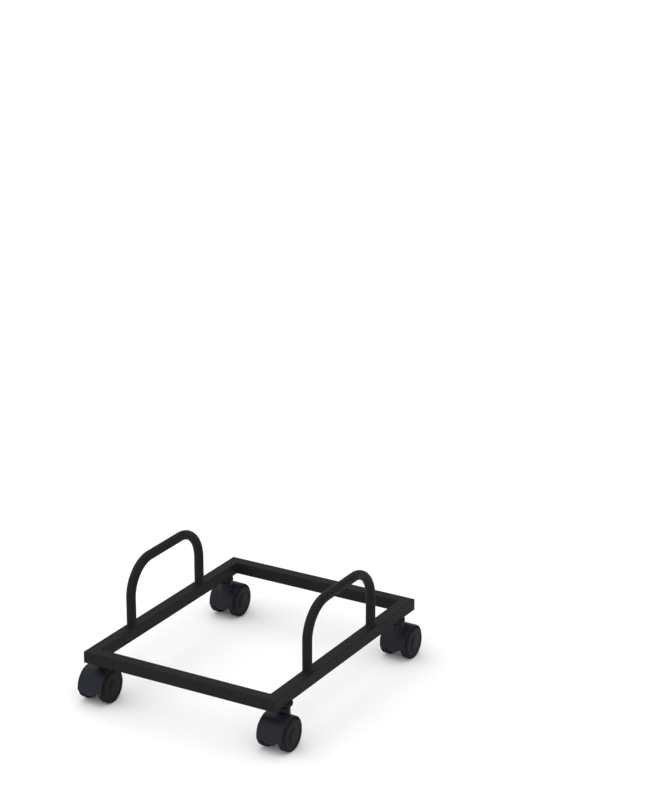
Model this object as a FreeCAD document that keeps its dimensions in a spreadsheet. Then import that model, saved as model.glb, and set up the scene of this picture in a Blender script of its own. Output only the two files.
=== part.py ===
import FreeCAD
import Part
import Sketcher
import os

# Rolling stand for a computer tower: a mitred rectangle of square steel tube, a bent
# round-tube hoop standing on each side tube, and a twin-wheel swivel caster under each
# end of both side tubes.
#
# Frame of the part: +X across the stand (short side), +Y along it (front to back), +Z up.
# The origin is on the floor, under the middle of the frame. Millimetres throughout.

DIMENSIONS = [
    # alias, value, what it is
    ("frame_width", 280, "outer width of the tube rectangle"),
    ("frame_length", 350, "outer length of the tube rectangle"),
    ("frame_underside", 57, "height of the square tubes above the floor"),
    ("tube_side", 16, "outer side of the square tube"),
    ("tube_wall", 1.2, "wall of the square tube"),
    ("tube_corner", 1.2, "outer corner radius of the square tube"),
    ("hoop_diameter", 12.5, "outer diameter of the round tube"),
    ("hoop_wall", 1.2, "wall of the round tube"),
    ("hoop_span", 158, "distance between the centrelines of a hoop's legs"),
    ("hoop_rise", 89, "top of a hoop above the top of the frame"),
    ("hoop_bend", 44, "centreline radius of a hoop's bends"),
    ("hoop_setback", -4, "middle of a hoop from the middle of the side tube"),
    ("hoop_inset", 1.75, "hoop's plane inward from the side tube's middle plane"),
    ("weld_leg", 1.6, "leg of the fillet weld round a hoop's foot"),
    ("corner_bead", 2.5, "radius of the weld bead in an inner corner"),
    ("pivot_inset", 34, "caster's swivel axis from the end of the frame"),
    ("caster_trail", 12, "wheel axle behind the swivel axis"),
    ("wheel_diameter", 42, "diameter of a wheel over its tread"),
    ("wheel_face", 21, "outer face of a wheel from the caster's middle plane"),
    ("wheel_inner", 10.5, "inner face of a wheel's rim from the middle plane"),
    ("wheel_shoulder", 3.5, "rounding between tread and outer face"),
    ("rim_depth", 3, "radial thickness of a wheel's rim"),
    ("disc_inner", 13, "inner face of a wheel's disc from the middle plane"),
    ("hub_radius", 6, "radius of a wheel's hub"),
    ("hub_inner", 6.5, "inner end of a wheel's hub from the middle plane"),
    ("hub_fillet", 1.5, "fillet between hub and disc"),
    ("cap_radius", 9.2, "radius of a hubcap"),
    ("cap_seat", 19.4, "seat of a hubcap from the middle plane"),
    ("cap_face", 21.8, "outer face of a hubcap from the middle plane"),
    ("cap_edge", 1.2, "rounding of a hubcap's edge"),
    ("cap_gap", 0.1, "radial gap between a hubcap and its recess"),
    ("axle_diameter", 5, "diameter of the axle pin"),
    ("axle_length", 38, "length of the axle pin"),
    ("axle_chamfer", 0.5, "chamfer at the ends of axle and stem"),
    ("axle_play", 0.06, "radial clearance of a wheel on its axle"),
    ("hood_radius", 24.6, "outer radius of the hood's arch"),
    ("hood_thickness", 2.4, "thickness of the hood's arch"),
    ("hood_width", 37, "width of the hood"),
    ("hood_drop", 4, "lower edge of the hood below the axle"),
    ("hood_edge", 0.8, "rounding of the hood's outer edges"),
    ("web_width", 12, "thickness of the hood's middle web"),
    ("web_drop", 8, "lower edge of the web below the axle"),
    ("neck_diameter", 16, "diameter of the hood's neck"),
    ("neck_top", 50.9, "top of the neck above the floor"),
    ("neck_bottom", 16, "lower end of the neck's boss above the floor"),
    ("neck_edge", 0.8, "chamfer of the neck's rim"),
    ("stem_diameter", 8, "diameter of the swivel stem"),
    ("stem_top", 69, "upper end of the stem above the floor"),
    ("stem_bottom", 32, "lower end of the stem above the floor"),
    ("stem_play", 0.08, "radial clearance of the stem in the hood"),
    ("stem_hole_gap", 0.1, "radial gap of the stem in tube and collar"),
    ("socket_floor", 31, "blind end of the stem's socket above the floor"),
    ("flange_radius", 6.5, "radius of the stem's flange"),
    ("flange_height", 1.2, "thickness of the stem's flange"),
    ("collar_radius", 11, "radius of the collar welded under the tube"),
    ("collar_height", 4.5, "height of that collar"),
    ("collar_chamfer", 1.2, "chamfer of the collar's lower rim"),
    ("clip_height", 36, "middle of the stem's retaining clip above the floor"),
    ("clip_thickness", 1.2, "thickness of the clip along the stem"),
    ("clip_inner", 3.4, "inner radius of the clip and of its groove in the stem"),
    ("clip_outer", 4.6, "outer radius of the clip"),
    ("clip_room", 0.35, "clearance of the clip inside the hood's groove"),
    ("clip_opening", 50, "angle left open in the clip, in degrees"),
]

CORNERS = ("front_left", "front_right", "rear_left", "rear_right")

document = FreeCAD.newDocument("cpu_holder")
parts = []


def make_sheet():
    """Put every driving dimension in a spreadsheet cell with an alias."""
    sheet = document.addObject("Spreadsheet::Sheet", "Dims")
    for row, (alias, value, meaning) in enumerate(DIMENSIONS, start=1):
        sheet.set("A%d" % row, meaning)
        sheet.set("B%d" % row, str(value))
        sheet.setAlias("B%d" % row, alias)
    document.recompute()
    return sheet


sheet = make_sheet()
ALIASES = sorted((row[0] for row in DIMENSIONS), key=len, reverse=True)


def dims(formula):
    """Turn a formula in aliases into an expression that reads the sheet."""
    words = formula.split()
    return " ".join("Dims." + word if word in ALIASES else word for word in words)


def size(formula):
    """Value of a formula in aliases, as a plain number of millimetres."""
    value = sheet.evalExpression(dims(formula))
    return float(getattr(value, "Value", value))


def new_body(label):
    body = document.addObject("PartDesign::Body", label)
    body.Label = label
    parts.append(body)
    return body


def place(body, x, y, z, turn=0):
    """Place a sub-part by three formulas, turned about the vertical in degrees."""
    body.Placement = FreeCAD.Placement(
        FreeCAD.Vector(size(x), size(y), size(z)),
        FreeCAD.Rotation(FreeCAD.Vector(0, 0, 1), turn))
    body.setExpression("Placement.Base.x", dims(x))
    body.setExpression("Placement.Base.y", dims(y))
    body.setExpression("Placement.Base.z", dims(z))


def origin_feature(body, role):
    return next(item for item in body.Origin.OriginFeatures if item.Role == role)


def new_sketch(body, name, role, offset=None):
    """Sketch on one of the body's origin planes, moved along its normal if asked."""
    sketch = body.newObject("Sketcher::SketchObject", name)
    sketch.AttachmentSupport = [(origin_feature(body, role), "")]
    sketch.MapMode = "FlatFace"
    if offset:
        sketch.setExpression("AttachmentOffset.Base.z", dims(offset))
    return sketch


def bind(sketch, kind, places, formula):
    """Add a dimension to a sketch and bind it to a formula."""
    value = size(formula)
    index = sketch.addConstraint(Sketcher.Constraint(kind, *places, value))
    sketch.setExpression("Constraints[%d]" % index, dims(formula))


def pin_point(sketch, geometry, end, x, y):
    """Hold one point of a sketch at coordinates given as formulas."""
    bind(sketch, "DistanceX", (-1, 1, geometry, end), x)
    bind(sketch, "DistanceY", (-1, 1, geometry, end), y)


def outline(sketch, corners):
    """Closed polygon through corners given as pairs of formulas."""
    points = [FreeCAD.Vector(size(x), size(y), 0) for x, y in corners]
    count = len(points)
    first = sketch.GeometryCount
    for here, ahead in zip(points, points[1:] + points[:1]):
        sketch.addGeometry(Part.LineSegment(here, ahead), False)
    for index in range(count):
        ahead = first + (index + 1) % count
        sketch.addConstraint(Sketcher.Constraint("Coincident", first + index, 2, ahead, 1))
    for index, (x, y) in enumerate(corners):
        pin_point(sketch, first + index, 1, x, y)


def circle(sketch, x, y, radius):
    centre = FreeCAD.Vector(size(x), size(y), 0)
    up = FreeCAD.Vector(0, 0, 1)
    index = sketch.addGeometry(Part.Circle(centre, up, size(radius)), False)
    bind(sketch, "Radius", (index,), radius)
    pin_point(sketch, index, 3, x, y)


def arch(sketch, x, y, radius, drop):
    """Arc over the point x, y, from and to the level that lies drop below it."""
    reach = (size(radius) ** 2 - size(drop) ** 2) ** 0.5
    centre = FreeCAD.Vector(size(x), size(y), 0)
    left = centre + FreeCAD.Vector(-reach, -size(drop), 0)
    right = centre + FreeCAD.Vector(reach, -size(drop), 0)
    crown = centre + FreeCAD.Vector(0, size(radius), 0)
    index = sketch.addGeometry(Part.Arc(right, crown, left), False)
    bind(sketch, "Radius", (index,), radius)
    pin_point(sketch, index, 3, x, y)
    for end in (1, 2):
        bind(sketch, "DistanceY", (index, end, index, 3), drop)
    return index, left, right


def join(sketch, start, first, end, second):
    """Straight line between an end of one curve and an end of another."""
    index = sketch.addGeometry(Part.LineSegment(start, end), False)
    sketch.addConstraint(Sketcher.Constraint("Coincident", index, 1, *first))
    sketch.addConstraint(Sketcher.Constraint("Coincident", index, 2, *second))


def pad(body, sketch, length, both_ways=False):
    feature = body.newObject("PartDesign::Pad", sketch.Name + "_pad")
    feature.Profile = sketch
    feature.setExpression("Length", dims(length))
    if both_ways:
        feature.SideType = "Symmetric"
    document.recompute()
    return feature


def cut_through(body, sketch):
    """Cut a sketch right through the solid, both ways, and make sure that it cuts."""
    before = body.Shape.Volume
    feature = body.newObject("PartDesign::Pocket", sketch.Name + "_cut")
    feature.Profile = sketch
    feature.Type = "ThroughAll"
    feature.SideType = "Symmetric"
    document.recompute()
    check_cut(body, before, feature)


def cut_depth(body, sketch, depth, reverse=False):
    """Cut a sketch to a depth, against its normal, and make sure that it cuts."""
    before = body.Shape.Volume
    feature = body.newObject("PartDesign::Pocket", sketch.Name + "_cut")
    feature.Profile = sketch
    feature.Reversed = reverse
    feature.setExpression("Length", dims(depth))
    document.recompute()
    check_cut(body, before, feature)


def check_cut(body, before, feature):
    if body.Shape.Volume > before - 0.01:
        raise RuntimeError("%s removes nothing from %s" % (feature.Name, body.Label))


def revolve(body, sketch, role, angle="360"):
    """Turn a sketch about one of the body's origin axes."""
    feature = body.newObject("PartDesign::Revolution", sketch.Name + "_revolution")
    feature.Profile = sketch
    feature.ReferenceAxis = (origin_feature(body, role), [""])
    feature.setExpression("Angle", dims(angle))
    document.recompute()
    return feature


def dress(body, kind, amount, wanted):
    """Fillet or chamfer the edges of the body's last feature that pass a test."""
    base = body.Tip
    names = ["Edge%d" % (number + 1) for number, edge in enumerate(base.Shape.Edges)
             if wanted(edge)]
    feature = body.newObject("PartDesign::" + kind, body.Name + "_" + kind.lower())
    feature.Base = (base, names)
    feature.setExpression("Radius" if kind == "Fillet" else "Size", dims(amount))
    document.recompute()


def near(value, formula):
    return abs(value - size(formula)) < 0.01


def is_ring(edge, radius):
    """True for a full circle of the given radius."""
    curve = edge.Curve
    return isinstance(curve, Part.Circle) and near(curve.Radius, radius) and edge.isClosed()


# ---------------------------------------------------------------- tube rectangle

def square_tube(label, length, stem_holes=False):
    """Mitred square tube along its own X, with its long outer face towards -Y."""
    body = new_body(label)
    section = new_sketch(body, label + "_section", "YZ_Plane")
    for half in ("tube_side / 2", "tube_side / 2 - tube_wall"):
        low = "-( " + half + " )"
        outline(section, [(low, low), (half, low), (half, half), (low, half)])
    pad(body, section, length, both_ways=True)
    dress(body, "Fillet", "tube_corner", lambda edge: is_long_outer_edge(edge, length))
    cut_mitres(body, label, length)
    if stem_holes:
        cut_stem_holes(body, label)
    return body


def is_long_outer_edge(edge, length):
    """True for the four outer corners of the square section."""
    middle = edge.CenterOfMass
    outer = near(abs(middle.y), "tube_side / 2") and near(abs(middle.z), "tube_side / 2")
    return near(edge.Length, length) and outer


def cut_mitres(body, label, length):
    """Both ends at 45 degrees: the outer face keeps the full length."""
    for side, sign in (("right", ""), ("left", "-1 * ")):
        sketch = new_sketch(body, label + "_mitre_" + side, "XY_Plane")
        tip = sign + "( %s / 2 + tube_side )" % length
        heel = sign + "( %s / 2 - 2 * tube_side )" % length
        outline(sketch, [(tip, "-3 * tube_side / 2"), (tip, "3 * tube_side / 2"),
                         (heel, "3 * tube_side / 2")])
        cut_through(body, sketch)


def cut_stem_holes(body, label):
    """A hole near each end of the lower wall, on the tube's centreline."""
    sketch = new_sketch(body, label + "_stem_holes", "XY_Plane", "-1 * tube_side / 2")
    for sign in ("", "-1 * "):
        circle(sketch, sign + "( frame_length / 2 - pivot_inset )", "0 * tube_side",
               "stem_diameter / 2 + stem_hole_gap")
    cut_depth(body, sketch, "tube_wall", reverse=True)


def make_frame():
    level = "frame_underside + tube_side / 2"
    across = "( frame_length - tube_side ) / 2"
    along = "( frame_width - tube_side ) / 2"
    place(square_tube("front_tube", "frame_width"), "0", "-1 * " + across, level)
    place(square_tube("rear_tube", "frame_width"), "0", across, level, 180)
    place(square_tube("right_side_tube", "frame_length", True), along, "0", level, 90)
    place(square_tube("left_side_tube", "frame_length", True), "-1 * " + along, "0", level, -90)


def make_corner_welds():
    """A quarter-round bead up each inner corner of the rectangle."""
    beads = []
    inner_x = size("frame_width / 2 - tube_side")
    inner_y = size("frame_length / 2 - tube_side")
    for number, (sign_x, sign_y, turn) in enumerate(
            ((1, 1, 180), (-1, 1, 270), (-1, -1, 0), (1, -1, 90))):
        bead = document.addObject("Part::Cylinder", "corner_bead_%d" % number)
        bead.setExpression("Radius", dims("corner_bead"))
        bead.setExpression("Height", dims("tube_side - 2 * tube_corner"))
        bead.Angle = 90
        bead.Placement = FreeCAD.Placement(
            FreeCAD.Vector(sign_x * inner_x, sign_y * inner_y, 0),
            FreeCAD.Rotation(FreeCAD.Vector(0, 0, 1), turn))
        bead.setExpression("Placement.Base.z", dims("frame_underside + tube_corner"))
        beads.append(bead)
    return group("corner_welds", beads)


def group(label, members):
    """Several separate solids as one sub-part."""
    compound = document.addObject("Part::Compound", label)
    compound.Label = label
    compound.Links = members
    parts.append(compound)
    return compound


# ---------------------------------------------------------------- hoops

def hoop_path(body, label):
    """Leg, bend, top, bend, leg in the YZ plane, from z = 0 upwards."""
    sketch = new_sketch(body, label + "_path", "YZ_Plane")
    half, bend = size("hoop_span / 2"), size("hoop_bend")
    crown = size("hoop_rise - hoop_diameter / 2")
    spring = crown - bend
    slant = bend * 0.5 ** 0.5
    at = FreeCAD.Vector
    sketch.addGeometry([
        Part.LineSegment(at(-half, 0, 0), at(-half, spring, 0)),
        Part.Arc(at(-half, spring, 0), at(-half + bend - slant, spring + slant, 0),
                 at(-half + bend, crown, 0)),
        Part.LineSegment(at(-half + bend, crown, 0), at(half - bend, crown, 0)),
        Part.Arc(at(half - bend, crown, 0), at(half - bend + slant, spring + slant, 0),
                 at(half, spring, 0)),
        Part.LineSegment(at(half, spring, 0), at(half, 0, 0))], False)
    # Arcs run anticlockwise, so each bend's first point is its right-hand one.
    for ends in ((0, 2, 1, 2), (1, 1, 2, 1), (2, 2, 3, 2), (3, 1, 4, 1)):
        sketch.addConstraint(Sketcher.Constraint("Tangent", *ends))
    pin_point(sketch, 0, 1, "-1 * hoop_span / 2", "0 * hoop_span")
    pin_point(sketch, 4, 2, "hoop_span / 2", "0 * hoop_span")
    bind(sketch, "DistanceY", (-1, 1, 2, 1), "hoop_rise - hoop_diameter / 2")
    for bend_number in (1, 3):
        bind(sketch, "Radius", (bend_number,), "hoop_bend")
    sketch.addConstraint(Sketcher.Constraint("Vertical", 0))
    sketch.addConstraint(Sketcher.Constraint("Horizontal", 2))
    sketch.addConstraint(Sketcher.Constraint("Vertical", 4))
    return sketch


def sweep(body, kind, label, radius, path):
    """Sweep a circle at the foot of the first leg along the hoop's path."""
    section = new_sketch(body, label, "XY_Plane")
    circle(section, "0 * hoop_span", "-1 * hoop_span / 2", radius)
    feature = body.newObject("PartDesign::" + kind, label + "_sweep")
    feature.Profile = section
    feature.Spine = (path, ["Edge%d" % number for number in range(1, 6)])
    document.recompute()


def hoop(label, x):
    body = new_body(label)
    path = hoop_path(body, label)
    sweep(body, "AdditivePipe", label + "_outside", "hoop_diameter / 2", path)
    sweep(body, "SubtractivePipe", label + "_bore", "hoop_diameter / 2 - hoop_wall", path)
    place(body, x, "hoop_setback", "frame_underside + tube_side")
    return body


def make_hoop_welds():
    """A fillet weld round each of the four hoop feet, on the flat of the side tube only."""
    rings = []
    for side, sign_x in (("left", -1), ("right", 1)):
        for end, sign_y in (("front", -1), ("rear", 1)):
            name = "%s_%s_foot" % (side, end)
            cone = document.addObject("Part::Cone", name + "_cone")
            cone.setExpression("Radius1", dims("hoop_diameter / 2 + weld_leg"))
            cone.setExpression("Radius2", dims("hoop_diameter / 2"))
            cone.setExpression("Height", dims("weld_leg"))
            leg = document.addObject("Part::Cylinder", name + "_leg")
            leg.setExpression("Radius", dims("hoop_diameter / 2"))
            leg.setExpression("Height", dims("weld_leg"))
            ring = document.addObject("Part::Cut", name + "_weld")
            ring.Base = cone
            ring.Tool = leg
            place(ring, "%d * ( ( frame_width - tube_side ) / 2 - hoop_inset )" % sign_x,
                  "hoop_setback + %d * hoop_span / 2" % sign_y,
                  "frame_underside + tube_side")
            bead = document.addObject("Part::Common", name + "_bead")
            bead.Base = ring
            bead.Tool = tube_flat(name, sign_x)
            rings.append(bead)
    return group("hoop_welds", rings)


def tube_flat(name, sign_x):
    """A low block that stands on the flat of one side tube's upper face."""
    block = document.addObject("Part::Box", name + "_flat")
    block.setExpression("Length", dims("tube_side - 2 * tube_corner"))
    block.setExpression("Width", dims("frame_length"))
    block.setExpression("Height", dims("weld_leg"))
    place(block, "%d * ( frame_width - tube_side ) / 2 - ( tube_side / 2 - tube_corner )" % sign_x,
          "-1 * frame_length / 2", "frame_underside + tube_side")
    return block


# ---------------------------------------------------------------- caster, frame side

def collar(label):
    """Round boss welded under the side tube, which the stem passes through."""
    body = new_body(label)
    section = new_sketch(body, label + "_section", "XY_Plane",
                         "frame_underside - collar_height")
    circle(section, "0 * tube_side", "0 * tube_side", "collar_radius")
    circle(section, "0 * tube_side", "0 * tube_side", "stem_diameter / 2 + stem_hole_gap")
    pad(body, section, "collar_height")
    low = "frame_underside - collar_height"
    dress(body, "Chamfer", "collar_chamfer",
          lambda edge: is_ring(edge, "collar_radius") and near(edge.CenterOfMass.z, low))
    return body


def stem(label):
    """Steel pin with a flange under the collar and a groove for its clip."""
    body = new_body(label)
    flange_top = "frame_underside - collar_height"
    flange_low = flange_top + " - flange_height"
    groove_top = "clip_height + clip_thickness / 2"
    groove_low = "clip_height - clip_thickness / 2"
    full = "stem_diameter / 2"
    tip = full + " - axle_chamfer"
    axis = "0 * stem_diameter"
    section = new_sketch(body, label + "_section", "XZ_Plane")
    outline(section, [
        (axis, "stem_bottom"), (tip, "stem_bottom"), (full, "stem_bottom + axle_chamfer"),
        (full, groove_low), ("clip_inner", groove_low), ("clip_inner", groove_top),
        (full, groove_top), (full, flange_low), ("flange_radius", flange_low),
        ("flange_radius", flange_top), (full, flange_top),
        (full, "stem_top - axle_chamfer"), (tip, "stem_top"), (axis, "stem_top")])
    revolve(body, section, "Z_Axis")
    return body


def stem_clip(label):
    """Open spring ring in the stem's groove, which keeps the hood on the stem."""
    body = new_body(label)
    section = new_sketch(body, label + "_section", "XZ_Plane")
    low = "clip_height - clip_thickness / 2"
    top = "clip_height + clip_thickness / 2"
    outline(section, [("clip_inner", low), ("clip_outer", low),
                      ("clip_outer", top), ("clip_inner", top)])
    revolve(body, section, "Z_Axis", "360 - clip_opening")
    return body


# ---------------------------------------------------------------- caster, moving side

def hood(label):
    """Arched cover over both wheels, with a middle web and a neck for the stem."""
    body = new_body(label)
    axle_y, axle_z = "-1 * caster_trail", "wheel_diameter / 2"

    cover = new_sketch(body, label + "_arch", "YZ_Plane")
    outer, outer_left, outer_right = arch(cover, axle_y, axle_z, "hood_radius", "hood_drop")
    inner, inner_left, inner_right = arch(cover, axle_y, axle_z,
                                          "hood_radius - hood_thickness", "hood_drop")
    join(cover, outer_left, (outer, 2), inner_left, (inner, 2))
    join(cover, outer_right, (outer, 1), inner_right, (inner, 1))
    pad(body, cover, "hood_width", both_ways=True)
    dress(body, "Fillet", "hood_edge", is_arch_edge)

    web = new_sketch(body, label + "_web", "YZ_Plane")
    edge, left, right = arch(web, axle_y, axle_z, "hood_radius - hood_thickness / 2",
                             "web_drop")
    join(web, left, (edge, 2), right, (edge, 1))
    pad(body, web, "web_width", both_ways=True)

    neck = new_sketch(body, label + "_neck", "XY_Plane", "neck_bottom")
    circle(neck, "0 * caster_trail", "0 * caster_trail", "neck_diameter / 2")
    pad(body, neck, "neck_top - neck_bottom")
    dress(body, "Chamfer", "neck_edge",
          lambda edge: is_ring(edge, "neck_diameter / 2") and near(edge.CenterOfMass.z, "neck_top"))

    bore = new_sketch(body, label + "_axle_bore", "YZ_Plane")
    circle(bore, axle_y, axle_z, "axle_diameter / 2")
    cut_through(body, bore)
    cut_socket(body, label)
    return body


def is_arch_edge(edge):
    """True for the two outer rims of the arch."""
    curve = edge.Curve
    return isinstance(curve, Part.Circle) and near(curve.Radius, "hood_radius")


def cut_socket(body, label):
    """Blind bore for the stem, with a wider ring of room round its clip."""
    bore = "stem_diameter / 2 + stem_play"
    room = "clip_outer + clip_room"
    low = "clip_height - clip_thickness / 2 - clip_room"
    top = "clip_height + clip_thickness / 2 + clip_room"
    axis = "0 * stem_diameter"
    section = new_sketch(body, label + "_socket", "XZ_Plane")
    outline(section, [(axis, "socket_floor"), (bore, "socket_floor"), (bore, low),
                      (room, low), (room, top), (bore, top),
                      (bore, "neck_top + 1"), (axis, "neck_top + 1")])
    before = body.Shape.Volume
    groove = body.newObject("PartDesign::Groove", label + "_socket_cut")
    groove.Profile = section
    groove.ReferenceAxis = (origin_feature(body, "Z_Axis"), [""])
    groove.Angle = 360
    document.recompute()
    check_cut(body, before, groove)


def axle(label):
    """Steel pin pressed into the web, which carries both wheels."""
    body = new_body(label)
    section = new_sketch(body, label + "_section", "YZ_Plane")
    circle(section, "-1 * caster_trail", "wheel_diameter / 2", "axle_diameter / 2")
    pad(body, section, "axle_length", both_ways=True)
    dress(body, "Chamfer", "axle_chamfer", lambda edge: is_ring(edge, "axle_diameter / 2"))
    return body


def wheel(label):
    """Dished wheel: hub, disc and rim, turned about its own X, outer face to +X."""
    body = new_body(label)
    bore = "axle_diameter / 2 + axle_play"
    tread = "wheel_diameter / 2"
    recess = "cap_radius + cap_gap"
    section = new_sketch(body, label + "_section", "XY_Plane")
    outline(section, [
        ("hub_inner", bore), ("hub_inner", "hub_radius"), ("disc_inner", "hub_radius"),
        ("disc_inner", tread + " - rim_depth"), ("wheel_inner", tread + " - rim_depth"),
        ("wheel_inner", tread), ("wheel_face", tread), ("wheel_face", recess),
        ("cap_seat", recess), ("cap_seat", bore)])
    revolve(body, section, "X_Axis")
    dress(body, "Fillet", "wheel_shoulder",
          lambda edge: is_ring(edge, tread) and near(edge.CenterOfMass.x, "wheel_face"))
    dress(body, "Fillet", "hub_fillet",
          lambda edge: is_ring(edge, "hub_radius") and near(edge.CenterOfMass.x, "disc_inner"))
    return body


def hubcap(label):
    """Round cap that closes the outer end of a wheel's bore."""
    body = new_body(label)
    section = new_sketch(body, label + "_section", "XY_Plane")
    outline(section, [("cap_seat", "0 * cap_radius"), ("cap_seat", "cap_radius"),
                      ("cap_face", "cap_radius"), ("cap_face", "0 * cap_radius")])
    revolve(body, section, "X_Axis")
    dress(body, "Fillet", "cap_edge",
          lambda edge: is_ring(edge, "cap_radius") and near(edge.CenterOfMass.x, "cap_face"))
    return body


def make_caster(corner):
    """One caster: its wheels trail towards the nearer end of the stand."""
    front, left = corner.startswith("front"), corner.endswith("left")
    x = "%d * ( frame_width - tube_side ) / 2" % (-1 if left else 1)
    y_sign = -1 if front else 1
    y = "%d * ( frame_length / 2 - pivot_inset )" % y_sign
    turn = 0 if front else 180
    for maker, name in ((collar, "collar"), (stem, "stem"), (stem_clip, "stem_clip"),
                        (hood, "hood"), (axle, "axle")):
        place(maker("%s_%s" % (corner, name)), x, y, "0 * frame_underside", turn)
    axle_y = y + " + %d * caster_trail" % y_sign
    for side, outward in (("left", 180), ("right", 0)):
        for maker, name in ((wheel, "wheel"), (hubcap, "hubcap")):
            label = "%s_%s_%s" % (corner, side, name)
            place(maker(label), x, axle_y, "wheel_diameter / 2", outward)


# ---------------------------------------------------------------- whole stand

def check_and_write():
    """Refuse a failed object or an unsound solid, then write one file per sub-part."""
    document.recompute()
    for item in document.Objects:
        if {"Invalid", "Error"} & set(item.State):
            raise RuntimeError("%s failed: %s" % (item.Label, item.State))
    for part in parts:
        if part.Shape.isNull() or not part.Shape.isValid() or not part.Shape.Solids:
            raise RuntimeError("%s has no sound solid" % part.Label)
    os.makedirs("parts", exist_ok=True)
    for part in parts:
        part.Shape.exportStep("parts/%s.step" % part.Label)


make_frame()
make_corner_welds()
hoop_x = "( ( frame_width - tube_side ) / 2 - hoop_inset )"
hoop("left_hoop", "-1 * " + hoop_x)
hoop("right_hoop", hoop_x)
make_hoop_welds()
for corner_name in CORNERS:
    make_caster(corner_name)
check_and_write()
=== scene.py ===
import math

import bmesh
import bpy
from mathutils import Matrix, Vector


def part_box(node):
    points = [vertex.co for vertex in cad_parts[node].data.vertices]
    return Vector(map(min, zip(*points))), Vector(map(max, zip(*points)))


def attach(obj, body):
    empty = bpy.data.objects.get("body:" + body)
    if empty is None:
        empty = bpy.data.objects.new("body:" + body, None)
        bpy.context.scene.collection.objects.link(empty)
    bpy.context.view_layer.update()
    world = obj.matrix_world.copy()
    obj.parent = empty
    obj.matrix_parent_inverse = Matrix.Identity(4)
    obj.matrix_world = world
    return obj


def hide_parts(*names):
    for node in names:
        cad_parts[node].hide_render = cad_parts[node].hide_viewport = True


# A rolling stand for a computer tower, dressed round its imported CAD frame: bent and
# welded black tube on four hooded twin-wheel casters. Lengths in the tables below are
# millimetres, and the scene is in metres.

MM = 0.001
TURN_STEPS = 96
BORE_STEPS = 64
TUBE_STEPS = 48
ARCH_STEPS = 72
ROUNDING_STEPS = 5
SHARP_ANGLE = math.radians(32)
SAME_PLACE = 0.001 * MM
CORNERS = ("front_left", "front_right", "rear_left", "rear_right")

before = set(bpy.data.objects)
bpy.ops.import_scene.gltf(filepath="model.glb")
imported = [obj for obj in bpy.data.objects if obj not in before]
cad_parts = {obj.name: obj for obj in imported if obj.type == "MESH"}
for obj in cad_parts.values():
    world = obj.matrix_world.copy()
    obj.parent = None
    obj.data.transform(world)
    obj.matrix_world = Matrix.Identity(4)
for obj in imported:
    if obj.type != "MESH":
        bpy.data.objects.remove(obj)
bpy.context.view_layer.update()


# ---------------------------------------------------------------- places, from the CAD frame

def middle(node):
    """Centre of a CAD node's box."""
    low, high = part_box(node)
    return (low + high) / 2


# ---------------------------------------------------------------- finishes

def linear(code):
    """sRGB hex, such as "2A2A2A", to the linear colour that the shaders take."""
    channels = [int(code[n:n + 2], 16) / 255 for n in (0, 2, 4)]
    return [c / 12.92 if c <= 0.04045 else ((c + 0.055) / 1.055) ** 2.4
            for c in channels] + [1.0]


def add(owner, kind, values=None, links=None, **settings):
    """One node of a material or world, with its settings, socket values and links."""
    node = owner.node_tree.nodes.new(kind)
    for setting, value in settings.items():
        setattr(node, setting, value)
    for socket, value in (values or {}).items():
        node.inputs[socket].default_value = value
    for socket, source in (links or {}).items():
        owner.node_tree.links.new(source, node.inputs[socket])
    return node


def surface(name, values):
    """A new material, its shader with fixed values set, and its Object coordinates."""
    material = bpy.data.materials.new(name)
    material.use_nodes = True
    shader = material.node_tree.nodes["Principled BSDF"]
    for socket, value in values.items():
        shader.inputs[socket].default_value = value
    place = add(material, "ShaderNodeTexCoord")
    return material, shader, place


def per(size):
    """Noise scale whose bumps are about this many millimetres across."""
    return 1 / (size * MM)


def noise(size, detail=2.0, rough=0.5):
    """Socket values of a noise with bumps of a size in millimetres."""
    return {"Scale": per(size), "Detail": detail, "Roughness": rough}


def finish(material, shader, colour=None, roughness=None, normal=None):
    """Link the finished colour, roughness and bump to the shader."""
    for socket, source in (("Base Color", colour), ("Roughness", roughness),
                           ("Normal", normal)):
        if source is not None:
            material.node_tree.links.new(source, shader.inputs[socket])
    return material


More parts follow.
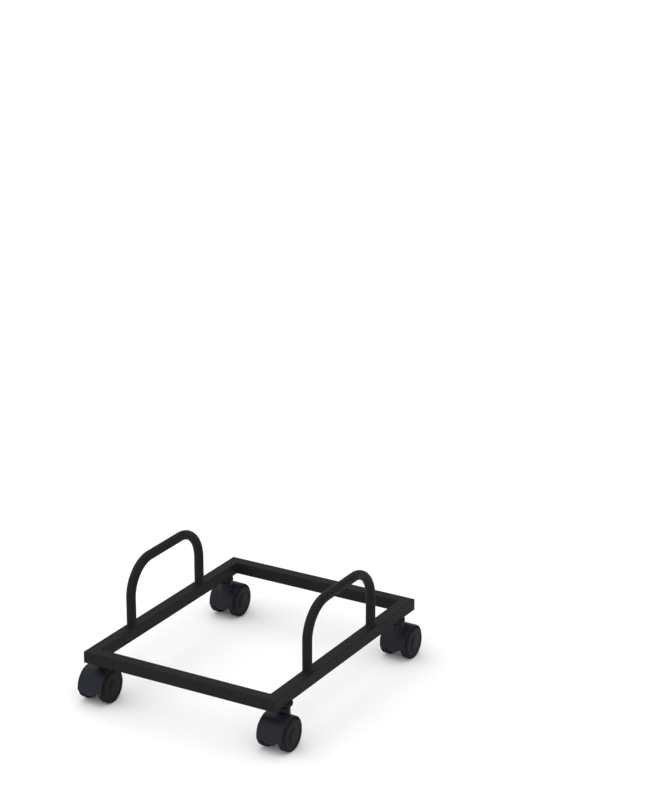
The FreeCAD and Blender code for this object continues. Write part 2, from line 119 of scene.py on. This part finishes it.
def powder_coat():
    """Black fine-texture polyester powder, sprayed on and baked. It leaves a dull, even
    black with a pebbled skin over a faint orange peel, and dust greys what faces up."""
    material, shader, place = surface("fine_texture_black_powder_coat", {
        "IOR": 1.4, "Specular IOR Level": 0.08, "Metallic": 0.0})
    spot = place.outputs["Object"]
    # The film is a touch thicker and blacker in patches as wide as a spray pass.
    pass_width, peel_size, grain_size, dust_size = 38, 2.2, 0.7, 9
    patches = add(material, "ShaderNodeTexNoise", noise(pass_width), {"Vector": spot})
    film = add(material, "ShaderNodeMix",
               {6: linear("191919"), 7: linear("1E1E1E")},
               {0: patches.outputs["Fac"]}, data_type="RGBA")
    # Real peel is 1 to 2 mm across and the pebbles are under 0.4 mm: they are drawn
    # coarser so that they show; pebble tops get painted highlight, pits painted shade.
    peel = add(material, "ShaderNodeTexNoise", noise(peel_size, 1.0), {"Vector": spot})
    grain = add(material, "ShaderNodeTexNoise", noise(grain_size, 2.0), {"Vector": spot})
    pebble_painted_light = add(material, "ShaderNodeMapRange",
                 {"From Min": 0.35, "From Max": 0.65, "To Min": 0.82, "To Max": 1.2},
                 {"Value": grain.outputs["Fac"]})
    # Film colour times the grain: painted highlight on the pebble tops, painted shade in the
    # pits.
    film_with_painted_pebble_light = add(material, "ShaderNodeVectorMath",
                  links={0: film.outputs[2], 3: pebble_painted_light.outputs["Result"]},
                  operation="SCALE")
    facing = add(material, "ShaderNodeSeparateXYZ", links={0: place.outputs["Normal"]})
    upward = add(material, "ShaderNodeMapRange",
                 {"From Min": 0.6, "From Max": 1.0, "To Min": 0.0, "To Max": 0.16},
                 {"Value": facing.outputs["Z"]})
    specks = add(material, "ShaderNodeTexNoise", noise(dust_size, 5.0, 0.7), {"Vector": spot})
    dust = add(material, "ShaderNodeMath",
               links={0: upward.outputs["Result"], 1: specks.outputs["Fac"]},
               operation="MULTIPLY")
    colour = add(material, "ShaderNodeMix", {7: linear("2C2B2A")},
                 {0: dust.outputs[0], 6: film_with_painted_pebble_light.outputs[0]}, data_type="RGBA")
    satin = add(material, "ShaderNodeMapRange", {"To Min": 0.5, "To Max": 0.62},
                {"Value": specks.outputs["Fac"]})
    soft = add(material, "ShaderNodeBump", {"Strength": 0.6, "Distance": 0.2 * MM},
               {"Height": peel.outputs["Fac"]})
    fine = add(material, "ShaderNodeBump", {"Strength": 0.7, "Distance": 0.16 * MM},
               {"Height": grain.outputs["Fac"], "Normal": soft.outputs["Normal"]})
    return finish(material, shader, colour.outputs[2], satin.outputs["Result"],
                  fine.outputs["Normal"])


def moulded_nylon(name, dark, light, shine, gloss, grain_size, scuffed):
    """Black polyamide from a spark-eroded steel mould: a blue-black satin skin with an
    even fine grain. Where the "scuff" attribute is 1 the skin is worn rougher and greyer."""
    material, shader, place = surface(name, {
        "IOR": 1.45, "Specular IOR Level": shine, "Metallic": 0.0})
    spot = place.outputs["Object"]
    flow_size, scratch_size = 14, 3
    # The melt cools unevenly, which shows as broad paler flow marks.
    flow = add(material, "ShaderNodeTexNoise", noise(flow_size, 3.0), {"Vector": spot})
    skin = add(material, "ShaderNodeMix", {6: linear(dark), 7: linear(light)},
               {0: flow.outputs["Fac"]}, data_type="RGBA")
    wear = add(material, "ShaderNodeAttribute", attribute_name="scuff")
    marks = add(material, "ShaderNodeTexNoise", noise(scratch_size, 6.0, 0.75),
                {"Vector": spot})
    worn = add(material, "ShaderNodeMath",
               links={0: wear.outputs["Fac"], 1: marks.outputs["Fac"]},
               operation="MULTIPLY")
    colour = add(material, "ShaderNodeMix", {7: linear(scuffed)},
                 {0: worn.outputs[0], 6: skin.outputs[2]}, data_type="RGBA")
    sheen = add(material, "ShaderNodeMapRange", {"To Min": gloss, "To Max": gloss + 0.1},
                {"Value": flow.outputs["Fac"]})
    rough = add(material, "ShaderNodeMath", links={0: sheen.outputs["Result"],
                                                   1: worn.outputs[0]},
                operation="ADD", use_clamp=True)
    # Spark grain is about 0.1 mm: it is drawn several times coarser so that it shows.
    pits = add(material, "ShaderNodeTexVoronoi", {"Scale": per(grain_size)},
               {"Vector": spot}, feature="SMOOTH_F1")
    dents = add(material, "ShaderNodeBump", {"Strength": 0.6, "Distance": 0.16 * MM},
                {"Height": pits.outputs["Distance"]})
    rubbed = add(material, "ShaderNodeBump", {"Strength": 0.3, "Distance": 0.12 * MM},
                 {"Height": worn.outputs[0], "Normal": dents.outputs["Normal"]})
    return finish(material, shader, colour.outputs[2], rough.outputs[0],
                  rubbed.outputs["Normal"])


def bright_zinc():
    """Turned steel, zinc plated and clear passivated: a pale cool metal with fine
    tool rings and cloudy, slightly duller plating."""
    material, shader, place = surface("zinc_plated_steel", {"Metallic": 1.0})
    spot = place.outputs["Object"]
    cloud_size, ring_pitch = 4, 0.5
    clouds = add(material, "ShaderNodeTexNoise", noise(cloud_size, 3.0), {"Vector": spot})
    colour = add(material, "ShaderNodeMix", {6: linear("8F9296"), 7: linear("B3B5B6")},
                 {0: clouds.outputs["Fac"]}, data_type="RGBA")
    rough = add(material, "ShaderNodeMapRange", {"To Min": 0.28, "To Max": 0.42},
                {"Value": clouds.outputs["Fac"]})
    # Tool rings are 0.15 mm apart: drawn at 0.5 mm so that they show. A wave texture of
    # scale 1 repeats every tau / 20.
    rings = add(material, "ShaderNodeTexWave", {"Scale": math.tau / 20 * per(ring_pitch),
                                                "Distortion": 0.4},
                {"Vector": spot}, bands_direction="Z")
    tooled = add(material, "ShaderNodeBump", {"Strength": 0.25, "Distance": 0.03 * MM},
                 {"Height": rings.outputs["Fac"]})
    return finish(material, shader, colour.outputs[2], rough.outputs["Result"],
                  tooled.outputs["Normal"])


def oiled_spring_steel():
    """Hardened spring wire left dark from the quench and oiled: blue-grey, half glossy."""
    material, shader, place = surface("oiled_spring_steel", {"Metallic": 1.0})
    bloom_size = 2
    bloom = add(material, "ShaderNodeTexNoise", noise(bloom_size, 4.0),
                {"Vector": place.outputs["Object"]})
    colour = add(material, "ShaderNodeMix", {6: linear("3B3D42"), 7: linear("55575A")},
                 {0: bloom.outputs["Fac"]}, data_type="RGBA")
    rough = add(material, "ShaderNodeMapRange", {"To Min": 0.25, "To Max": 0.4},
                {"Value": bloom.outputs["Fac"]})
    return finish(material, shader, colour.outputs[2], rough.outputs["Result"])


def studio_floor():
    """Matt white vinyl sweep with barely visible clouding."""
    material, shader, place = surface("matt_white_vinyl", {"Specular IOR Level": 0.1})
    cloud_size = 900
    clouds = add(material, "ShaderNodeTexNoise", noise(cloud_size),
                 {"Vector": place.outputs["Object"]})
    colour = add(material, "ShaderNodeMix", {6: linear("F6F6F6"), 7: linear("F8F8F8")},
                 {0: clouds.outputs["Fac"]}, data_type="RGBA")
    rough = add(material, "ShaderNodeMapRange", {"To Min": 0.8, "To Max": 0.9},
                {"Value": clouds.outputs["Fac"]})
    return finish(material, shader, colour.outputs[2], rough.outputs["Result"])


PAINT = powder_coat()
HOOD_NYLON = moulded_nylon("spark_grained_black_nylon", "0E1018", "131620", 0.2, 0.40,
                           0.6, "232529")
WHEEL_NYLON = moulded_nylon("floor_worn_black_nylon", "0E0F11", "131416", 0.1, 0.46,
                            0.7, "2A292B")
CAP_NYLON = moulded_nylon("fine_grained_black_nylon", "0E0F12", "131418", 0.1, 0.42,
                          0.5, "232427")
ZINC = bright_zinc()
SPRING = oiled_spring_steel()


# ---------------------------------------------------------------- shaping

def draw_outline(b, points, closed):
    """Wire outline in the XZ plane. Each point is (along, out, rounding of its corner)."""
    corners = [b.verts.new((along * MM, 0, out * MM)) for along, out, _ in points]
    for start, end in zip(corners, corners[1:] + corners[:1] * closed):
        b.edges.new((start, end))
    for rounding in sorted({point[2] for point in points} - {0}):
        rounded = [v for v, point in zip(corners, points) if point[2] == rounding]
        bmesh.ops.bevel(b, geom=rounded, offset=rounding * MM, offset_type="OFFSET",
                        affect="VERTICES", segments=ROUNDING_STEPS, profile=0.5,
                        material=-1)


def turned(points, closed=True, steps=TURN_STEPS):
    """Turn an outline once round the X axis. An open outline starts and ends on it."""
    b = bmesh.new()
    draw_outline(b, points, closed)
    bmesh.ops.spin(b, geom=b.verts[:] + b.edges[:], axis=(1, 0, 0), cent=(0, 0, 0),
                   dvec=(0, 0, 0), angle=math.tau, steps=steps, use_merge=True)
    tidy(b)
    return b


def tidy(b):
    """Close the poles and seams, then point every face outwards."""
    bmesh.ops.remove_doubles(b, verts=b.verts[:], dist=SAME_PLACE)
    bmesh.ops.recalc_face_normals(b, faces=b.faces[:])


def close_ends(b):
    """Cap every open end."""
    bmesh.ops.holes_fill(b, edges=[e for e in b.edges if e.is_boundary], sides=0)


def move(b, matrix):
    """Place a mesh, and hand it on."""
    bmesh.ops.transform(b, matrix=matrix, verts=b.verts[:])
    return b


def points_of(made):
    """The vertices among an operator's results."""
    return [item for item in made if isinstance(item, bmesh.types.BMVert)]


def slice_at(b, place, across, clear=False):
    """Cut a mesh along a plane, and take off what lies on its far side if asked."""
    bmesh.ops.bisect_plane(b, geom=b.verts[:] + b.edges[:] + b.faces[:],
                           plane_co=place, plane_no=across, clear_outer=clear)


STAND_UP = Matrix.Rotation(-math.pi / 2, 4, "Y")   # takes the X axis to the Z axis


def piece(b, name, body, slot, material, *nodes):
    """Make a finished mesh a piece that rides a body and stands for CAD nodes."""
    mesh = bpy.data.meshes.new(name)
    for face in b.faces:
        face.smooth = True
    b.to_mesh(mesh)
    b.free()
    mesh.set_sharp_from_angle(angle=SHARP_ANGLE)
    return dress(mesh, name, body, slot, material, *nodes)


def dress(mesh, name, body, slot, material, *nodes):
    """Give a finished mesh its finish, its body and its CAD nodes. The slot is not used."""
    mesh.materials.clear()
    mesh.materials.append(material)
    made = bpy.data.objects.new(name, mesh)
    bpy.context.collection.objects.link(made)
    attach(made, body)
    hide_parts(*nodes)
    return made


# ---------------------------------------------------------------- bent hoops and welds

def bend_hoop(side):
    """One length of round tube: leg, bend, crown, bend, leg, open at both feet."""
    wall, bend = 1.2 * MM, 44 * MM
    low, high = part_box(side + "_hoop")
    radius = (high.x - low.x) / 2
    x, y = (low.x + high.x) / 2, low.y + radius
    span = high.y - low.y - 2 * radius
    spring = high.z - radius - bend
    b = bmesh.new()
    ring = bmesh.ops.create_circle(b, segments=TUBE_STEPS, radius=radius,
                                   matrix=Matrix.Translation((x, y, low.z)))["verts"]
    for step in ((0, 0, spring - low.z), (-90, spring, y + bend),
                 (0, span - 2 * bend, 0), (-90, spring, y + span - bend),
                 (0, 0, low.z - spring)):
        ring = grow(b, ring, x, *step)
    tidy(b)
    bmesh.ops.solidify(b, geom=b.faces[:], thickness=wall)
    bmesh.ops.recalc_face_normals(b, faces=b.faces[:])
    piece(b, side + "_bent_hoop", "frame", "frame_paint", PAINT, side + "_hoop")


def grow(b, ring, x, angle, first, second):
    """Carry the tube's open ring straight on by (first, second) in Y and Z, or round a
    bend whose centre is at (second, first), and return its new ring."""
    bend_steps = 28
    edges = [e for e in b.edges if e.verts[0] in ring and e.verts[1] in ring]
    if angle:
        made = bmesh.ops.spin(b, geom=ring + edges, axis=(1, 0, 0), dvec=(0, 0, 0),
                              cent=(x, second, first), angle=math.radians(angle),
                              steps=bend_steps)["geom_last"]
    else:
        made = bmesh.ops.extrude_edge_only(b, edges=edges)["geom"]
        bmesh.ops.translate(b, verts=points_of(made), vec=(0, first, second))
    return points_of(made)


def weld_feet():
    """A rippled fillet of weld round each hoop foot, which stops at the tube's inner edge."""
    leg, sunk, shy, belly, toe = 1.6, 0.2, 0.15, 0.6, 0.05
    toe_round, belly_round = 0.3, 0.5
    ripples, steps_per_ripple, ripple_height = 20, 8, 0.26
    tube_corner = 1.2
    weld = bmesh.new()
    inner_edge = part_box("left_side_tube")[1].x - tube_corner * MM
    for side, sign in (("left", 1), ("right", -1)):
        low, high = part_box(side + "_hoop")
        radius = (high.x - low.x) / 2 / MM
        for y in (low.y + radius * MM, high.y - radius * MM):
            bead = turned([(0, radius - sunk, 0), (0, radius + leg - shy, toe_round),
                           (leg * belly, radius + leg * belly, belly_round),
                           (leg - toe, radius - sunk, 0)],
                          steps=ripples * steps_per_ripple)
            move(bead, STAND_UP)
            for v in bead.verts:
                if v.co.xy.length > radius * MM:
                    wave = math.cos(ripples * math.atan2(v.co.y, v.co.x))
                    v.co.xy *= 1 + wave * ripple_height / radius / 2
            move(bead, Matrix.Translation(((low.x + high.x) / 2, y, low.z)))
            slice_at(bead, (sign * inner_edge, 0, 0), (sign, 0, 0), clear=True)
            close_ends(bead)
            gather(weld, bead)
    piece(weld, "hoop_foot_welds", "frame", "frame_paint", PAINT, "hoop_welds")


def gather(into, b):
    """Add one mesh to another."""
    carrier = bpy.data.meshes.new("carrier")
    tidy(b)
    b.to_mesh(carrier)
    b.free()
    into.from_mesh(carrier)
    bpy.data.meshes.remove(carrier)


def weld_corners():
    """A rippled bead of weld up each inner corner of the tube rectangle."""
    radius = 2.35 * MM
    ripple_pitch, ripple_share, cuts_per_ripple = 1.1 * MM, 0.05, 4
    low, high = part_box("corner_welds")
    weld = bmesh.new()
    height = high.z - low.z
    rings = int(height / ripple_pitch) * cuts_per_ripple
    for x in (low.x, high.x):
        for y in (low.y, high.y):
            bead = bmesh.new()
            bmesh.ops.create_cone(bead, cap_ends=True, segments=TUBE_STEPS, depth=height,
                                  radius1=radius, radius2=radius)
            for n in range(1, rings):
                slice_at(bead, (0, 0, height * (n / rings - 0.5)), (0, 0, 1))
            for v in bead.verts:
                v.co.xy *= 1 + ripple_share * math.cos(v.co.z / ripple_pitch * math.tau)
            for tube_side in ((x, 0, 0), (0, y, 0)):
                slice_at(bead, (0, 0, 0), tube_side, clear=True)
            close_ends(bead)
            move(bead, Matrix.Translation((x, y, (low.z + high.z) / 2)))
            gather(weld, bead)
    piece(weld, "inner_corner_welds", "frame", "frame_paint", PAINT, "corner_welds")


# ---------------------------------------------------------------- caster, frame side

def fit_pin(corner):
    """The turned bush welded under the tube, and the steel pin that the caster turns on."""
    pin, gap, reach, groove = 4, 0.1, 11, 3.4
    flange, flange_height, flange_round = 6.5, 1.2, 0.3
    rim_round, relief, tip_round = 1.2, 0.5, 0.5
    centre = middle(corner + "_stem")
    place = Matrix.Translation((centre.x, centre.y, 0)) @ STAND_UP
    low, high = levels(corner + "_collar")
    bush = turned([(low, pin + gap, 0), (low, reach, rim_round),
                   (high - relief, reach, relief / 2), (high, reach - relief, relief / 2),
                   (high, pin + gap, 0)])
    piece(move(bush, place), corner + "_bush", "frame", "frame_paint", PAINT,
          corner + "_collar")
    tip, top = levels(corner + "_stem")
    clip_low, clip_high = levels(corner + "_stem_clip")
    stem = turned([(tip, 0, 0), (tip, pin, tip_round), (clip_low, pin, 0),
                   (clip_low, groove, 0), (clip_high, groove, 0), (clip_high, pin, 0),
                   (low - flange_height, pin, 0), (low - flange_height, flange, flange_round),
                   (low, flange, flange_round), (low, pin, 0),
                   (top, pin, tip_round), (top, 0, 0)], closed=False)
    piece(move(stem, place), corner + "_swivel_pin", "frame", "bare_steel", ZINC,
          corner + "_stem")


def levels(node):
    """Lowest and highest level of a CAD node, in millimetres."""
    return [corner.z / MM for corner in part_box(node)]


# ---------------------------------------------------------------- caster, moving side

TRAIL, AXLE_HEIGHT = 12, 21


def arch_shell(b):
    """Crowned strip bent over the wheels, with a short straight drop at each end."""
    half, outer, inner, crown, drop = 18.5, 24.6, 22.2, 0.45, 4
    lip_round, rim_round, back_round = 0.4, 1.0, 9
    draw_outline(b, [(-half, inner, lip_round), (-half, outer - crown, rim_round),
                     (0, outer, back_round), (half, outer - crown, rim_round),
                     (half, inner, lip_round)], True)
    bmesh.ops.rotate(b, verts=b.verts[:], cent=(0, 0, 0),
                     matrix=Matrix.Rotation(-math.pi / 2, 3, "X"))
    start = b.edges[:]
    end = bmesh.ops.spin(b, geom=b.verts[:] + start, axis=(1, 0, 0), cent=(0, 0, 0),
                         dvec=(0, 0, 0), angle=math.pi, steps=ARCH_STEPS)["geom_last"]
    for loop in (start, [g for g in end if isinstance(g, bmesh.types.BMEdge)]):
        drop_edges(b, loop, drop)
    close_ends(b)


def drop_edges(b, edges, drop):
    """Carry edges straight down by a number of millimetres."""
    made = bmesh.ops.extrude_edge_only(b, edges=edges)["geom"]
    bmesh.ops.translate(b, verts=points_of(made), vec=(0, 0, -drop * MM))


def middle_web(b):
    """Half disc between the wheels, carried straight down past the axle."""
    reach, drop, half, hair = 23.4, 8, 6, 0.01
    spoke = [b.verts.new((-half * MM, 0, 0)), b.verts.new((-half * MM, reach * MM, 0))]
    first = b.edges.new(spoke)
    bmesh.ops.spin(b, geom=spoke + [first], axis=(1, 0, 0), cent=(0, 0, 0),
                   dvec=(0, 0, 0), angle=math.pi, steps=ARCH_STEPS)
    bmesh.ops.remove_doubles(b, verts=b.verts[:], dist=SAME_PLACE)
    drop_edges(b, [e for e in b.edges if e.is_boundary
                   and all(abs(v.co.z) < hair * MM for v in e.verts)], drop)
    side = bmesh.ops.extrude_face_region(b, geom=b.faces[:])["geom"]
    bmesh.ops.translate(b, verts=points_of(side), vec=(2 * half * MM, 0, 0))


def moulded_hood():
    """Arch, web and neck melted into one moulding with filleted roots, then bored."""
    voxel, root, smoothing_passes = 0.5, 1.6, 8
    neck, neck_foot, neck_top = 8, 16, 50.9
    foot_round, rim_round = 1.0, 0.8
    solid = bmesh.new()
    for shape in (arch_shell, middle_web):
        part = bmesh.new()
        shape(part)
        move(part, Matrix.Translation((0, -TRAIL * MM, AXLE_HEIGHT * MM)))
        gather(solid, part)
    gather(solid, move(turned([(neck_foot, 0, 0), (neck_foot, neck, foot_round),
                               (neck_top, neck, rim_round), (neck_top, 0, 0)],
                              closed=False), STAND_UP))
    blank = loose_object(solid, "hood_blank")
    # Swelling and shrinking the melted skin by the same amount rounds its inner corners.
    for swell in (root, -root):
        melt(blank, voxel)
        push = blank.modifiers.new("push", "DISPLACE")
        push.strength = swell * MM
        push.mid_level = 0
    melt(blank, voxel)
    ease = blank.modifiers.new("ease", "SMOOTH")
    ease.factor = 0.5
    ease.iterations = smoothing_passes
    done = carve(blank, "DIFFERENCE", socket_bore(), axle_bore())
    done.shade_smooth()
    done.set_sharp_from_angle(angle=SHARP_ANGLE)
    return done


def loose_object(b, name):
    """An object to shape further, which is not a piece itself."""
    mesh = bpy.data.meshes.new(name)
    b.to_mesh(mesh)
    b.free()
    made = bpy.data.objects.new(name, mesh)
    bpy.context.collection.objects.link(made)
    return made


def melt(blank, voxel):
    """Fuse overlapping shells into one skin."""
    fuse = blank.modifiers.new("melt", "REMESH")
    fuse.mode = "VOXEL"
    fuse.voxel_size = voxel * MM


def carve(blank, operation, *shapes):
    """Cut shapes out of a blank or join them to it, and return the finished mesh."""
    tools = [loose_object(shape, "tool") for shape in shapes]
    for tool in tools:
        cut = blank.modifiers.new("carve", "BOOLEAN")
        cut.operation = operation
        cut.object = tool
        cut.solver = "EXACT"
    bpy.context.view_layer.update()
    done = bpy.data.meshes.new_from_object(
        blank.evaluated_get(bpy.context.evaluated_depsgraph_get()))
    for spare in [blank] + tools:
        bpy.data.objects.remove(spare)
    return done


def socket_bore():
    """Blind bore for the stem, with the groove that gives its clip room."""
    bore, room, floor, mouth = 4.08, 4.95, 31, 52
    groove_low, groove_high = 35.05, 36.95
    return move(turned([(floor, 0, 0), (floor, bore, 0), (groove_low, bore, 0),
                        (groove_low, room, 0), (groove_high, room, 0),
                        (groove_high, bore, 0), (mouth, bore, 0), (mouth, 0, 0)],
                       closed=False, steps=BORE_STEPS), STAND_UP)


def axle_bore():
    """Bore through the web, which the axle pin fills."""
    radius, half = 2.5, 9
    bore = turned([(-half, 0, 0), (-half, radius, 0), (half, radius, 0), (half, 0, 0)],
                  closed=False, steps=BORE_STEPS)
    return move(bore, Matrix.Translation((0, -TRAIL * MM, AXLE_HEIGHT * MM)))


def moulded_wheel():
    """Nylon wheel turned about X: crowned tread, rounded shoulder, stepped face, and a
    dished inner side with a hub and ribs, all one moulding."""
    tread, inner, outer, crown = 21, 10.5, 21, 0.12
    tread_round, shoulder_round, small = 3, 3.4, 0.2
    hub, hub_end, hub_round, hub_root = 6, 6.5, 0.4, 1.2
    dish, rim, rim_root, rim_round, edge_round = 13, 18, 0.8, 0.3, 0.6
    bore, recess, seat = 2.56, 9.3, 19.4
    step, step_in, step_out, slope = 0.45, 11.2, 15.6, 0.5
    blank = turned([
        (hub_end, bore, small), (hub_end, hub, hub_round), (dish, hub, hub_root),
        (dish, rim, rim_root), (inner, rim, rim_round), (inner, tread - crown, edge_round),
        ((inner + outer) / 2, tread, tread_round), (outer, tread - crown, shoulder_round),
        (outer, step_out + slope, small), (outer - step, step_out, small),
        (outer - step, step_in, small), (outer, step_in - slope, small),
        (outer, recess, small), (seat, recess, 0), (seat, bore, 0)])
    moulding = carve(loose_object(blank, "wheel_blank"), "UNION", ribs(hub, rim, dish))
    b = bmesh.new()
    b.from_mesh(moulding)
    bpy.data.meshes.remove(moulding)
    return scuff(b, tread)


def ribs(hub, rim, dish):
    """Six ribs that stand on the dish, from the hub to the rim, and reach into all three."""
    count, height, thickness, sunk = 6, 1.7, 1.3, 0.6
    b = bmesh.new()
    for n in range(count):
        place = Matrix.Rotation(math.tau * n / count, 4, "X") @ Matrix.Translation(
            ((dish + (sunk - height) / 2) * MM, 0, (hub + rim) / 2 * MM))
        bmesh.ops.create_cube(b, size=MM, matrix=place @ Matrix.Diagonal(
            (height + sunk, thickness, rim - hub + sunk, 1)))
    return b


def cap_blank():
    """Domed hubcap turned about X, with a shallow ring and a dimple."""
    seat, face, radius = 19.4, 21.8, 9.2
    shoulder, ring_out, ring_in, knob, dimple = 6.6, 6.2, 5.4, 5.0, 2.2
    fall, ease, hollow = 0.45, 0.1, 0.4
    small, smaller, edge_round, dimple_round = 0.2, 0.15, 0.9, 0.8
    return turned([(seat, 0, 0), (seat, radius, small), (face - fall, radius, edge_round),
                   (face - ease, shoulder, small), (face - fall, ring_out, smaller),
                   (face - fall, ring_in, smaller), (face, knob, small),
                   (face, dimple, dimple_round), (face - hollow, 0, 0)], closed=False)


def scuff(b, tread):
    """Mark the running surface, where the wheel is worn, fading out over the shoulder."""
    fade = 2.5 * MM
    layer = b.verts.layers.float.new("scuff")
    for v in b.verts:
        v[layer] = max(0.0, min(1.0, 1 - (tread * MM - v.co.yz.length) / fade))
    return b


def build_caster(corner, hood_mesh, wheel_pattern):
    """The cover and both wheels of one caster, trailing towards the nearer end."""
    pivot = middle(corner + "_stem")
    turn = 0 if corner.startswith("front") else math.pi
    cover = hood_mesh.copy()
    cover.transform(Matrix.Translation((pivot.x, pivot.y, 0))
                    @ Matrix.Rotation(turn, 4, "Z"))
    dress(cover, corner + "_cover", corner + "_swivel", "hood_nylon", HOOD_NYLON,
          corner + "_hood")
    for side, outward in (("left", math.pi), ("right", 0)):
        part = "%s_%s" % (corner, side)
        axle = Vector((pivot.x, middle(part + "_wheel").y, AXLE_HEIGHT * MM))
        place = Matrix.Translation(axle) @ Matrix.Rotation(outward, 4, "Z")
        piece(move(wheel_pattern.copy(), place), part + "_roller",
              part + "_wheel_body", "wheel_nylon", WHEEL_NYLON, part + "_wheel")
        piece(move(cap_blank(), place), part + "_cap", part + "_wheel_body",
              "hubcap_nylon", CAP_NYLON, part + "_hubcap")


# ---------------------------------------------------------------- studio

def studio():
    """Pale floor, one broad soft sun from the front left and an even pale sky."""
    floor_reach, sunshine, sun_width = 60, 2.35, 140
    sun_direction = (0.5, 0.7, -1.6)
    mesh = bpy.data.meshes.new("floor")
    b = bmesh.new()
    bmesh.ops.create_grid(b, x_segments=1, y_segments=1, size=floor_reach)
    b.to_mesh(mesh)
    b.free()
    mesh.materials.append(studio_floor())
    ground = bpy.data.objects.new("floor", mesh)
    bpy.context.collection.objects.link(ground)
    lamp = bpy.data.lights.new("broad_sun", "SUN")
    lamp.energy = sunshine
    lamp.angle = math.radians(sun_width)
    sun = bpy.data.objects.new("broad_sun", lamp)
    sun.rotation_euler = Vector(sun_direction).to_track_quat("-Z", "Y").to_euler()
    bpy.context.collection.objects.link(sun)
    world = bpy.data.worlds.new("pale_sky")
    world.use_nodes = True
    view = add(world, "ShaderNodeTexCoord")
    height = add(world, "ShaderNodeSeparateXYZ", links={0: view.outputs["Generated"]})
    # Bright low down, so that the floor runs into it without a line, and dimmer above.
    glow = add(world, "ShaderNodeMapRange", {"From Min": 0.06, "From Max": 0.2,
                                             "To Min": 1.3, "To Max": 0.55},
               {"Value": height.outputs["Z"]})
    sky = world.node_tree.nodes["Background"].inputs
    sky["Color"].default_value = linear("FFFFFF")
    world.node_tree.links.new(glow.outputs["Result"], sky["Strength"])
    bpy.context.scene.world = world
    bpy.context.scene.view_settings.view_transform = "Standard"


def camera():
    """Long lens from the front right and above."""
    azimuth, elevation, focal = 30.281, 19.462, 2626
    # The focal length is for a picture 786 high, whose height spans the film.
    film, picture_height = 36, 786
    lens = bpy.data.cameras.new("camera")
    lens.sensor_width = film
    lens.lens = film * focal / picture_height
    lens.clip_end = 30
    seat = bpy.data.objects.new("camera", lens)
    seat.location = (1.63146, -2.59729, 1.46990)
    seat.rotation_euler = (math.radians(90 - elevation), 0, math.radians(azimuth))
    bpy.context.collection.objects.link(seat)
    bpy.context.scene.camera = seat


# ---------------------------------------------------------------- assembly

def finish_cad_nodes():
    """The CAD shapes that stay in view: square tubes, axles and clips."""
    shown = {"_tube": PAINT, "_axle": ZINC, "_stem_clip": SPRING}
    for name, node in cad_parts.items():
        for ending, material in shown.items():
            if name.endswith(ending):
                node.data.materials.clear()
                node.data.materials.append(material)


studio()
camera()
finish_cad_nodes()
for hoop_side in ("left", "right"):
    bend_hoop(hoop_side)
weld_feet()
weld_corners()
hood_pattern = moulded_hood()
wheel_pattern = moulded_wheel()
for caster in CORNERS:
    fit_pin(caster)
    build_caster(caster, hood_pattern, wheel_pattern)
bpy.data.meshes.remove(hood_pattern)
wheel_pattern.free()

bpy.context.view_layer.update()
